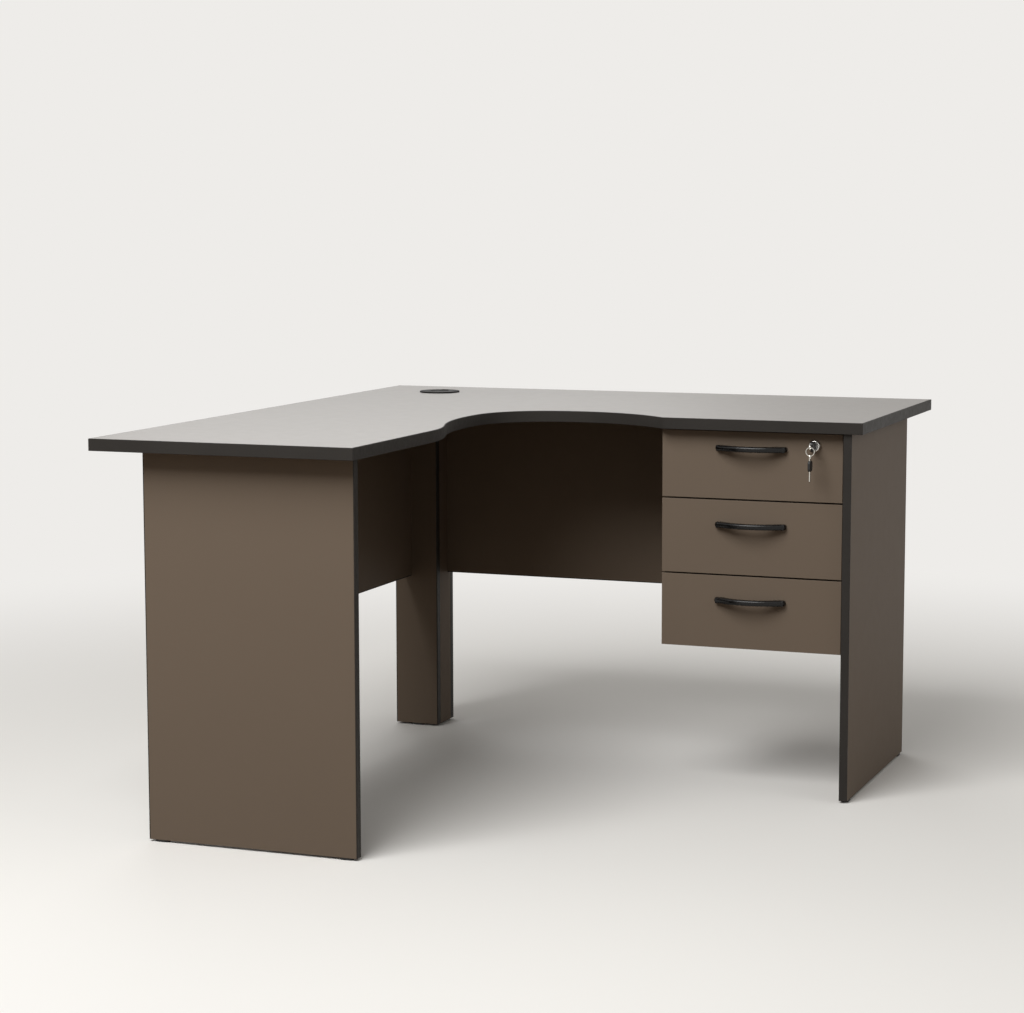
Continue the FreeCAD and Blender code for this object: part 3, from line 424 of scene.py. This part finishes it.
def plate(name, rim, holes, thickness, rounding, place):
    """Plate cut to a rim and holes in its own XY plane, with rounded edges, put in place by a matrix."""
    curve = bpy.data.curves.new(name, "CURVE")
    curve.dimensions = "2D"
    curve.fill_mode = "BOTH"
    curve.extrude = thickness / 2 - rounding
    curve.bevel_depth = rounding
    curve.bevel_resolution = PLATE_EDGE_STEPS
    curve.offset = -rounding
    for outline in (rim, *[hole[::-1] for hole in holes]):
        spline = curve.splines.new("POLY")
        spline.points.add(len(outline) - 1)
        spline.use_cyclic_u = True
        for point, (x, y) in zip(spline.points, outline):
            point.co = (x, y, 0, 1)
    drawn = bpy.data.objects.new(name, curve)
    bpy.context.scene.collection.objects.link(drawn)
    bpy.context.view_layer.update()
    filled = bpy.data.meshes.new_from_object(drawn.evaluated_get(bpy.context.evaluated_depsgraph_get()))
    shape = bmesh.new()
    shape.from_mesh(filled)
    bpy.data.objects.remove(drawn)
    bpy.data.curves.remove(curve)
    bpy.data.meshes.remove(filled)
    bmesh.ops.remove_doubles(shape, verts=shape.verts, dist=WELD)
    bmesh.ops.transform(shape, matrix=place, verts=shape.verts)
    return finished_mesh(name, shape)


def joined(name, meshes):
    """One mesh out of several."""
    shape = bmesh.new()
    for mesh in meshes:
        shape.from_mesh(mesh)
        bpy.data.meshes.remove(mesh)
    return finished_mesh(name, shape)


def facing(axis_x, axis_y, origin):
    """Matrix that lays a flat outline with its two directions along the given axes."""
    across, upward = Vector(axis_x), Vector(axis_y)
    turn = Matrix((across, upward, across.cross(upward))).transposed().to_4x4()
    return Matrix.Translation(origin) @ turn


def facing_user(y):
    """Matrix that stands an outline drawn in X and Z upright at a depth."""
    return facing((1, 0, 0), (0, 0, 1), (0, y, 0))


# Boards and edge bands
BOARD_ROUNDING = 0.5 * MM
BAND_ROUNDING = 1.0 * MM
PLAIN_BOARDS = (
    "main_end_panel", "return_end_panel", "main_modesty_panel", "return_modesty_panel",
    "corner_leg_front_board", "corner_leg_rear_board", "corner_leg_side_boards",
    "pedestal_side", "pedestal_base", "pedestal_back",
    *[f"drawer_{drawer}_back" for drawer in DRAWERS],
)
BANDED_BOARDS = {
    "main_end_panel_edge_bands": "main_end_panel",
    "return_end_panel_edge_bands": "return_end_panel",
    "main_modesty_edge_band": "main_modesty_panel",
    "return_modesty_edge_band": "return_modesty_panel",
    "corner_leg_edge_bands": "corner_leg_front_board",
}


def round_boxes(node, rounding):
    """Boxes with softly broken edges in place of a CAD node."""
    shape = bmesh.new()
    for low, high in solids(node):
        add_box(shape, low, high, rounding)
    show(node, "rounded", finished_mesh(node, shape))


def round_bands(node, panel):
    """Edge bands whose outer edges are rounded, flush with the board that they close."""
    panel_low, panel_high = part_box(panel)
    middle = (panel_low + panel_high) / 2
    shape = bmesh.new()
    for low, high in solids(node):
        size = high - low
        thin = min(range(3), key=lambda axis: size[axis])
        outer = high[thin] if (low + high)[thin] / 2 > middle[thin] else low[thin]

        def is_outer(edge, thin=thin, outer=outer):
            return all(abs(corner.co[thin] - outer) < NEAR for corner in edge.verts)

        add_box(shape, low, high, BAND_ROUNDING, is_outer)
    show(node, "rounded", finished_mesh(node, shape))


for node in PLAIN_BOARDS:
    round_boxes(node, BOARD_ROUNDING)
for node, panel in BANDED_BOARDS.items():
    round_bands(node, panel)


# Drawer fronts with their screw and lock holes
FRONT_ROUNDING = 0.7 * MM
SCREW_HOLE_RADIUS = 2.1 * MM
SCREW_HOLE_STEPS = 16
LOCK_HOLE_RADIUS = 9.7 * MM


def drawer_front(drawer):
    node = f"drawer_{drawer}_front"
    low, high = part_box(node)
    holes = []
    for screw_low, screw_high in solids(f"drawer_{drawer}_handle_screws"):
        screw = (screw_low + screw_high) / 2
        holes.append(circle_outline((screw.x, screw.z), SCREW_HOLE_RADIUS, SCREW_HOLE_STEPS))
    if drawer == "top":
        lock_low, lock_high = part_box("lock_plug")
        lock = (lock_low + lock_high) / 2
        holes.append(circle_outline((lock.x, lock.z), LOCK_HOLE_RADIUS))
    rim = rectangle_outline((low.x, low.z), (high.x, high.z))
    place = facing_user((low.y + high.y) / 2)
    show(node, "rounded", plate(node, rim, holes, high.y - low.y, FRONT_ROUNDING, place))


for drawer in DRAWERS:
    drawer_front(drawer)


# Bow handles
HANDLE_FOOT = 16 * MM
HANDLE_REACH = 28 * MM
HANDLE_END = 8 * MM
HANDLE_BAR = 9 * MM
HANDLE_CORNER = 5 * MM
HANDLE_ROUNDING = 4.4 * MM
HANDLE_BACK_ROUNDING = 1.5 * MM
HANDLE_EDGE_STEPS = 6
# A face whose normal points to the drawer by more than this belongs to the handle's back
TURNED_BACK = 0.1


def bow(half, end, middle, steps=36):
    """Shallow arc from left to right, given how far its ends and its middle stand off the drawer front."""
    rise = middle - end
    radius = (half ** 2 + rise ** 2) / (2 * rise)
    tilt = math.asin(half / radius)
    angles = [tilt * (2 * step / steps - 1) for step in range(steps + 1)]
    return [(radius * math.sin(a), middle - radius * (1 - math.cos(a))) for a in angles]


def bow_handle(drawer):
    node = f"drawer_{drawer}_handle"
    low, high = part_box(node)
    middle = (low.x + high.x) / 2
    half = (high.x - low.x) / 2
    outline = bow(half, HANDLE_END, HANDLE_REACH) + [(half, 0.0)]
    outline += bow(half - HANDLE_FOOT, 0.0, HANDLE_REACH - HANDLE_BAR)[::-1] + [(-half, 0.0)]
    shape = bmesh.new()
    underside = shape.faces.new([shape.verts.new((middle + x, high.y - off, low.z)) for x, off in outline])
    raised = bmesh.ops.extrude_face_region(shape, geom=[underside])["geom"]
    corners = [made for made in raised if isinstance(made, bmesh.types.BMVert)]
    bmesh.ops.translate(shape, verts=corners, vec=(0, 0, high.z - low.z))

    def stands_off(edge):
        return any(corner.co.y < high.y - NEAR for corner in edge.verts)

    def is_upright(edge):
        return abs(edge.verts[0].co.z - edge.verts[1].co.z) > NEAR

    def is_blunt_end(edge):
        return stands_off(edge) and is_upright(edge) and abs(edge.verts[0].co.x - middle) > half - NEAR

    def is_rim(edge):
        return stands_off(edge) and not is_upright(edge)

    def is_back_rim(edge):
        return is_rim(edge) and any(face.normal.y > TURNED_BACK for face in edge.link_faces)

    def is_front_rim(edge):
        return is_rim(edge) and not is_back_rim(edge)

    roundings = {
        is_blunt_end: HANDLE_CORNER, is_front_rim: HANDLE_ROUNDING, is_back_rim: HANDLE_BACK_ROUNDING,
    }
    for chosen, rounding in roundings.items():
        bmesh.ops.recalc_face_normals(shape, faces=shape.faces)
        round_edges(shape, [edge for edge in shape.edges if chosen(edge)], rounding, HANDLE_EDGE_STEPS)
    show(node, "rounded", finished_mesh(node, shape))


# Handle screws with a cross recess, and nylon rollers
SHANK_RADIUS = 2 * MM
HEAD_RADIUS = 4 * MM
HEAD_HEIGHT = 2.4 * MM
RECESS_DEPTH = 1.2 * MM
RECESS_ARM = 2.4 * MM
RECESS_HALF = 0.5 * MM
RECESS_ROUNDING = 0.2 * MM
SCREW_STEPS = 32
ROLLER_RADIUS = 5.5 * MM
ROLLER_RIM = 4.4 * MM
ROLLER_HUB = 3.0 * MM
ROLLER_DISH = 0.8 * MM
ROLLER_ROUNDING = 0.2 * MM
ROLLER_STEPS = 48
AXLE_RADIUS = 1.5 * MM


def cross_outline(centre, arm, half):
    """Outline of a cross with four arms of the given length and half width."""
    outline = []
    for turn in range(4):
        spin = Matrix.Rotation(math.radians(90 * turn), 2)
        for corner in ((half, half), (half, arm), (-half, arm)):
            x, y = spin @ Vector(corner)
            outline.append((centre[0] + x, centre[1] + y))
    return outline


def screw_node(node):
    """Shanks through the drawer front, and heads with a cross recess inside the drawer."""
    meshes = []
    for low, high in solids(node):
        middle = (low + high) / 2
        under_head = high.y - HEAD_HEIGHT - low.y
        bed = high.y - RECESS_DEPTH - low.y
        profile = [
            (0.0, 0.0), (SHANK_RADIUS, 0.0), (SHANK_RADIUS, under_head),
            (HEAD_RADIUS, under_head), (HEAD_RADIUS, bed), (0.0, bed),
        ]
        start = Vector((middle.x, low.y, middle.z))
        meshes.append(turned("screw", profile, start, (0, 1, 0), SCREW_STEPS))
        rim = circle_outline((middle.x, middle.z), HEAD_RADIUS, SCREW_STEPS)
        recess = cross_outline((middle.x, middle.z), RECESS_ARM, RECESS_HALF)
        place = facing_user(high.y - RECESS_DEPTH / 2)
        meshes.append(plate("screw_head", rim, [recess], RECESS_DEPTH, RECESS_ROUNDING, place))
    show(node, "headed", joined(node, meshes))


def roller_node(node):
    """Rollers with both faces dished between hub and rim."""
    meshes = []
    for low, high in solids(node):
        length = high.x - low.x
        start = Vector((low.x, (low.y + high.y) / 2, (low.z + high.z) / 2))
        half_profile = [
            (AXLE_RADIUS, 0.0), (ROLLER_HUB, 0.0), (ROLLER_HUB, ROLLER_DISH),
            (ROLLER_RIM, ROLLER_DISH), (ROLLER_RIM, 0.0), (ROLLER_RADIUS, 0.0),
        ]
        profile = half_profile + [(radius, length - reach) for radius, reach in half_profile[::-1]]
        profile = softened(profile, ROLLER_ROUNDING, steps=2)
        meshes.append(turned("wheel", profile, start, (1, 0, 0), ROLLER_STEPS))
    show(node, "dished", joined(node, meshes))


for drawer in DRAWERS:
    bow_handle(drawer)
    screw_node(f"drawer_{drawer}_handle_screws")
    roller_node(f"drawer_{drawer}_rollers")
roller_node("cabinet_rollers")


# Lock: turned bezel and slotted plug
BEZEL_RADIUS = 12 * MM
BEZEL_HEIGHT = 8 * MM
BEZEL_SLOPE = 3 * MM
BEZEL_ROUNDING = 0.6 * MM
BARREL_RADIUS = 9.5 * MM
BORE_RADIUS = 7.4 * MM
BARREL_LENGTH = 24 * MM
PLUG_RADIUS = 7 * MM
PLUG_ROUNDING = 0.3 * MM
SLOT_HALF_WIDTH = 1.2 * MM
SLOT_HALF_HEIGHT = 3.7 * MM
SLOT_DEPTH = 19.2 * MM
TOWARD_USER = (0, -1, 0)


def build_lock():
    low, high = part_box("lock_housing")
    middle = (low + high) / 2
    face = Vector((middle.x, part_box("drawer_top_front")[0].y, middle.z))
    corners = [
        (BORE_RADIUS, -BARREL_LENGTH), (BORE_RADIUS, BEZEL_HEIGHT), (BARREL_RADIUS, BEZEL_HEIGHT),
        (BEZEL_RADIUS, BEZEL_HEIGHT - BEZEL_SLOPE), (BEZEL_RADIUS, 0.0), (BARREL_RADIUS, 0.0),
        (BARREL_RADIUS, -BARREL_LENGTH),
    ]
    bezel = turned("lock_bezel", softened(corners, BEZEL_ROUNDING), face, TOWARD_USER)
    show("lock_housing", "turned", bezel)

    front, rear = (corner.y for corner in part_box("lock_plug"))
    slot = rectangle_outline(
        (face.x - SLOT_HALF_WIDTH, face.z - SLOT_HALF_HEIGHT),
        (face.x + SLOT_HALF_WIDTH, face.z + SLOT_HALF_HEIGHT))
    rim = circle_outline((face.x, face.z), PLUG_RADIUS)
    place = facing_user(front + SLOT_DEPTH / 2)
    slotted = plate("plug_front", rim, [slot], SLOT_DEPTH, PLUG_ROUNDING, place)
    length = rear - front - SLOT_DEPTH
    tail = [(0.0, 0.0), (PLUG_RADIUS, 0.0), (PLUG_RADIUS, length), (0.0, length)]
    solid = turned("plug_tail", tail, Vector((face.x, rear, face.z)), TOWARD_USER)
    show("lock_plug", "slotted", joined("lock_plug", [slotted, solid]))


build_lock()


# Keys on their split ring
KEY_THICKNESS = 2 * MM
KEY_ROUNDING = 0.25 * MM
KEY_HALF_TAB = 5 * MM
KEY_TAB_CORNER = 4 * MM
KEY_TAB_REACH = 7 * MM
KEY_HALF_BLADE = 3.5 * MM
KEY_EYE_RADIUS = 3.2 * MM
KEY_EYE_STEPS = 32
KEY_TIP = 47.5 * MM
KEY_TIP_SLOPE = 1.5 * MM
KEY_TIP_DROP = 2 * MM
KEY_TIP_CHAMFER = 1 * MM
KEY_CUTS = (1.5 * MM, 0.7 * MM, 1.9 * MM, 1.1 * MM)
KEY_FIRST_CUT = 43.5 * MM
KEY_CUT_PITCH = 3.6 * MM
KEY_CUT_SLOPE = 1 * MM
KEY_CUT_BED = 1.2 * MM
GRIP_START = 7 * MM
GRIP_STOP = 27.5 * MM
GRIP_HALF_WIDTH = 9.5 * MM
GRIP_CORNER = 6 * MM
GRIP_RIM = 2.2 * MM
GRIP_THICKNESS = 5 * MM
GRIP_ROUNDING = 0.9 * MM
PAD_THICKNESS = 3.8 * MM
PAD_ROUNDING = 0.3 * MM


def key_outline():
    """Steel of a key, from the tab round its eye to the tip, as pairs along the key and across it."""
    inner = KEY_HALF_TAB - KEY_TAB_CORNER
    outline = rounded_corner((-inner, -inner), KEY_TAB_CORNER, 270, 180)
    outline += rounded_corner((-inner, inner), KEY_TAB_CORNER, 180, 90)
    outline += [(KEY_TAB_REACH, KEY_HALF_TAB), (KEY_TAB_REACH, KEY_HALF_BLADE)]
    outline += [(KEY_TIP - KEY_TIP_SLOPE, KEY_HALF_BLADE), (KEY_TIP, KEY_HALF_BLADE - KEY_TIP_DROP)]
    outline += [(KEY_TIP, KEY_TIP_CHAMFER - KEY_HALF_BLADE), (KEY_TIP - KEY_TIP_CHAMFER, -KEY_HALF_BLADE)]
    for index, depth in enumerate(KEY_CUTS):
        start = KEY_FIRST_CUT - KEY_CUT_PITCH * index
        bed_start = start - KEY_CUT_SLOPE
        bed_stop = bed_start - KEY_CUT_BED
        outline += [(start, -KEY_HALF_BLADE), (bed_start, depth - KEY_HALF_BLADE)]
        outline += [(bed_stop, depth - KEY_HALF_BLADE), (bed_stop - KEY_CUT_SLOPE, -KEY_HALF_BLADE)]
    return outline + [(KEY_TAB_REACH, -KEY_HALF_BLADE), (KEY_TAB_REACH, -KEY_HALF_TAB)]


def grip_outline(inset):
    low = (GRIP_START + inset, inset - GRIP_HALF_WIDTH)
    high = (GRIP_STOP - inset, GRIP_HALF_WIDTH - inset)
    return rectangle_outline(low, high, GRIP_CORNER - inset)


def key(name, eye, along, across):
    """Cut steel key and its moulded head with a sunk pad on both sides."""
    place = facing(along, across, eye)
    hole = circle_outline((0, 0), KEY_EYE_RADIUS, KEY_EYE_STEPS)
    show(name, "cut", plate(name, key_outline(), [hole], KEY_THICKNESS, KEY_ROUNDING, place))
    rim = plate("head_rim", grip_outline(0), [grip_outline(GRIP_RIM)], GRIP_THICKNESS, GRIP_ROUNDING, place)
    pad = plate("head_pad", grip_outline(GRIP_RIM / 2), [], PAD_THICKNESS, PAD_ROUNDING, place)
    show(f"{name}_head", "moulded", joined("key_head", [rim, pad]))


RING_RADIUS = 8 * MM
RING_HALF_WIDTH = 0.7 * MM
RING_HALF_TURN = 0.34 * MM
RING_SPLIT = 0.42 * MM
RING_ROUNDING = 0.12 * MM
RING_START, RING_STOP, RING_STEP = 30, 690, 4
RING_CROSS, RING_CROSSED = 330, 390


def split_ring():
    """Flat wire wound nearly twice round, crossing over from the first turn to the second."""
    low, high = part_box("key_ring")
    middle = (low + high) / 2
    wide, thick = RING_HALF_WIDTH, RING_HALF_TURN
    section = softened(rectangle_outline((-wide, -thick), (wide, thick)), RING_ROUNDING, steps=2)
    shape = bmesh.new()
    rows = []
    for turn in range(RING_START, RING_STOP + 1, RING_STEP):
        share = min(1.0, max(0.0, (turn - RING_CROSS) / (RING_CROSSED - RING_CROSS)))
        spoke = Vector((math.cos(math.radians(turn)), 0, math.sin(math.radians(turn))))
        side = RING_SPLIT * (2 * share - 1)
        rows.append([
            shape.verts.new(middle + spoke * (RING_RADIUS + out) + Vector((0, side + along, 0)))
            for out, along in section
        ])
    for row, after in zip(rows, rows[1:]):
        for index in range(len(section)):
            shape.faces.new((row[index - 1], row[index], after[index], after[index - 1]))
    shape.faces.new(rows[0])
    shape.faces.new(rows[-1])
    show("key_ring", "split", finished_mesh("key_ring", shape))


def key_eye(name, end, axis):
    """Middle of a key's eye, found from the low end (0) or the high end (1) of the CAD key along an axis."""
    low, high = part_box(name)
    eye = (low + high) / 2
    eye[axis] = (low, high)[end][axis] + (KEY_HALF_TAB if end == 0 else -KEY_HALF_TAB)
    return eye


key("inserted_key", key_eye("inserted_key", end=0, axis=1), along=(0, 1, 0), across=(0, 0, 1))
key("spare_key", key_eye("spare_key", end=1, axis=2), along=(0, 0, -1), across=(0, -1, 0))
split_ring()


# Cable grommet
FLANGE_RADIUS = 43 * MM
FLANGE_HEIGHT = 3 * MM
TUBE_RADIUS = 39.9 * MM
SEAT_RADIUS = 37.1 * MM
SEAT_DROP = 3 * MM
GROMMET_BORE = 34.1 * MM
GROMMET_ROUNDING = 0.8 * MM
GROMMET_STEPS = 96
SLEEVE_DEPTH = 18 * MM
CAP_RADIUS = 36.7 * MM
CAP_ROUNDING = 0.6 * MM
CAP_STEPS = 72
DISH_RADIUS = 20 * MM
DISH_LAP = 1 * MM
DISH_DEPTH = 1 * MM
DISH_ROUNDING = 0.2 * MM
NOTCH_HALF = 9 * MM
NOTCH_DEPTH = 14 * MM
NOTCH_CORNER = 3 * MM


def build_grommet():
    low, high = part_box("grommet_sleeve")
    middle = (low + high) / 2
    desk_top = Vector((middle.x, middle.y, high.z - FLANGE_HEIGHT))
    corners = [
        (GROMMET_BORE, -SLEEVE_DEPTH), (GROMMET_BORE, -SEAT_DROP), (SEAT_RADIUS, -SEAT_DROP),
        (SEAT_RADIUS, FLANGE_HEIGHT), (FLANGE_RADIUS, FLANGE_HEIGHT), (FLANGE_RADIUS, 0.0),
        (TUBE_RADIUS, 0.0), (TUBE_RADIUS, -SLEEVE_DEPTH),
    ]
    profile = softened(corners, GROMMET_ROUNDING)
    show("grommet_sleeve", "turned", turned("grommet_sleeve", profile, desk_top, (0, 0, 1), GROMMET_STEPS))

    low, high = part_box("grommet_cap")
    notch = math.degrees(math.asin(NOTCH_HALF / CAP_RADIUS))
    rim = rounded_corner((0, 0), CAP_RADIUS, 90 + notch, 450 - notch, CAP_STEPS)
    bend = (NOTCH_HALF - NOTCH_CORNER, CAP_RADIUS - NOTCH_DEPTH + NOTCH_CORNER)
    rim += rounded_corner(bend, NOTCH_CORNER, 0, -90)
    rim += rounded_corner((-bend[0], bend[1]), NOTCH_CORNER, 270, 180)
    opening = circle_outline((0, 0), DISH_RADIUS)
    floor = circle_outline((0, 0), DISH_RADIUS + DISH_LAP)
    height = high.z - low.z
    floor_height = height - DISH_DEPTH
    ring_place = Matrix.Translation((middle.x, middle.y, low.z + height / 2))
    floor_place = Matrix.Translation((middle.x, middle.y, low.z + floor_height / 2))
    ring = plate("cap_ring", rim, [opening], height, CAP_ROUNDING, ring_place)
    dish = plate("cap_dish", floor, [], floor_height, DISH_ROUNDING, floor_place)
    show("grommet_cap", "notched", joined("grommet_cap", [ring, dish]))


build_grommet()


# Glides under the panels, and blocks under the desktop
GLIDE_CORNER_SHARE = 0.49
GLIDE_ROUNDING = 0.7 * MM
BLOCK_ROUNDING = 1.5 * MM


def build_glides():
    meshes = []
    for low, high in solids("glides"):
        corner = GLIDE_CORNER_SHARE * min(high.x - low.x, high.y - low.y)
        rim = rectangle_outline((low.x, low.y), (high.x, high.y), corner)
        place = Matrix.Translation((0, 0, (low.z + high.z) / 2))
        meshes.append(plate("glide", rim, [], high.z - low.z, GLIDE_ROUNDING, place))
    show("glides", "rounded", joined("glides", meshes))


build_glides()
round_boxes("joint_blocks", BLOCK_ROUNDING)


# Floor and room light
PALE = linear(238, 236, 233)
FLOOR_SEEN = linear(236, 234, 230)
FLOOR_THROWN = linear(112, 96, 78)
FLOOR_ROUGHNESS = 0.9
FLOOR_RADIUS = 40.0
FLOOR_STEPS = 96
FADE_START, FADE_END = 1.0, 3.2
ROOM_LIGHT = linear(255, 252, 247)
ROOM_STRENGTH = 0.26


def seen_directly(tree):
    """Factor that is one for camera, glossy and transmission rays."""
    path = tree.nodes.new("ShaderNodeLightPath").outputs
    total = path["Is Camera Ray"]
    for ray in ("Is Glossy Ray", "Is Transmission Ray"):
        either = tree.nodes.new("ShaderNodeMath")
        either.operation = "MAXIMUM"
        tree.links.new(total, either.inputs[0])
        tree.links.new(path[ray], either.inputs[1])
        total = either.outputs[0]
    return total


def floor_finish():
    """Pale matte floor that fades into the backdrop away from the desk and throws little light back."""
    finish = Finish("stage_floor", Roughness=FLOOR_ROUGHNESS)
    tree = finish.tree
    seen = seen_directly(tree)
    finish.set("Base Color", finish.mix(seen, FLOOR_THROWN, FLOOR_SEEN))
    distance = finish.add("ShaderNodeVectorMath", {0: finish.place}, operation="LENGTH").outputs["Value"]
    fade = finish.add("ShaderNodeMapRange", {
        "Value": distance, "From Min": FADE_START, "From Max": FADE_END,
    }, interpolation_type="SMOOTHSTEP").outputs[0]
    glow = finish.add("ShaderNodeEmission", {"Color": PALE})
    blend = finish.add("ShaderNodeMixShader", {0: finish.product(fade, seen)})
    tree.links.new(finish.shader.outputs[0], blend.inputs[1])
    tree.links.new(glow.outputs[0], blend.inputs[2])
    tree.links.new(blend.outputs[0], tree.nodes["Material Output"].inputs["Surface"])
    return finish.material


def build_floor():
    shape = bmesh.new()
    bmesh.ops.create_circle(shape, cap_ends=True, segments=FLOOR_STEPS, radius=FLOOR_RADIUS)
    floor = bpy.data.objects.new("floor", finished_mesh("floor", shape))
    floor.data.materials.append(floor_finish())
    bpy.context.scene.collection.objects.link(floor)


def build_world():
    """Even room light for the desk and a pale backdrop for what is seen directly."""
    world = bpy.data.worlds.new("studio")
    bpy.context.scene.world = world
    world.use_nodes = True
    tree = world.node_tree
    room = tree.nodes["Background"]
    room.inputs["Color"].default_value = ROOM_LIGHT
    room.inputs["Strength"].default_value = ROOM_STRENGTH
    backdrop = tree.nodes.new("ShaderNodeBackground")
    backdrop.inputs["Color"].default_value = PALE
    choice = tree.nodes.new("ShaderNodeMixShader")
    tree.links.new(seen_directly(tree), choice.inputs[0])
    tree.links.new(room.outputs[0], choice.inputs[1])
    tree.links.new(backdrop.outputs[0], choice.inputs[2])
    tree.links.new(choice.outputs[0], tree.nodes["World Output"].inputs["Surface"])


def softbox(name, place, aim, size, power):
    """Large square lamp turned toward a point."""
    lamp = bpy.data.lights.new(name, "AREA")
    lamp.size = size
    lamp.energy = power
    holder = bpy.data.objects.new(name, lamp)
    holder.location = place
    holder.rotation_euler = (Vector(aim) - Vector(place)).to_track_quat("-Z", "Y").to_euler()
    bpy.context.scene.collection.objects.link(holder)


build_floor()
build_world()
softbox("key_light", place=(-0.6, -2.8, 3.6), aim=(0.1, -0.1, 0.5), size=2.6, power=165)
softbox("side_light", place=(3.8, -0.9, 2.4), aim=(0.4, 0.0, 0.4), size=2.2, power=13)
softbox("back_light", place=(-1.8, 3.4, 2.9), aim=(0.0, 0.2, 0.5), size=2.4, power=30)

# Camera, as fitted to straight edges in the photo
PHOTO_WIDTH = 1024
FOCAL_PIXELS = 2571.0
SENSOR_WIDTH = 36.0
CAMERA_PLACE = (1.7096, -4.6189, 1.1469)
CAMERA_YAW = 21.064
CAMERA_PITCH = 6.849
CAMERA_ROLL = -0.109


def build_camera():
    lens = bpy.data.cameras.new("camera")
    lens.sensor_width = SENSOR_WIDTH
    lens.lens = FOCAL_PIXELS * SENSOR_WIDTH / PHOTO_WIDTH
    camera = bpy.data.objects.new("camera", lens)
    turn = Matrix.Rotation(math.radians(CAMERA_YAW), 4, "Z")
    tilt = Matrix.Rotation(math.radians(90 - CAMERA_PITCH), 4, "X")
    roll = Matrix.Rotation(math.radians(CAMERA_ROLL), 4, "Z")
    camera.matrix_world = Matrix.Translation(CAMERA_PLACE) @ turn @ tilt @ roll
    bpy.context.scene.collection.objects.link(camera)
    bpy.context.scene.camera = camera


build_camera()
bpy.context.scene.view_settings.view_transform = "Standard"
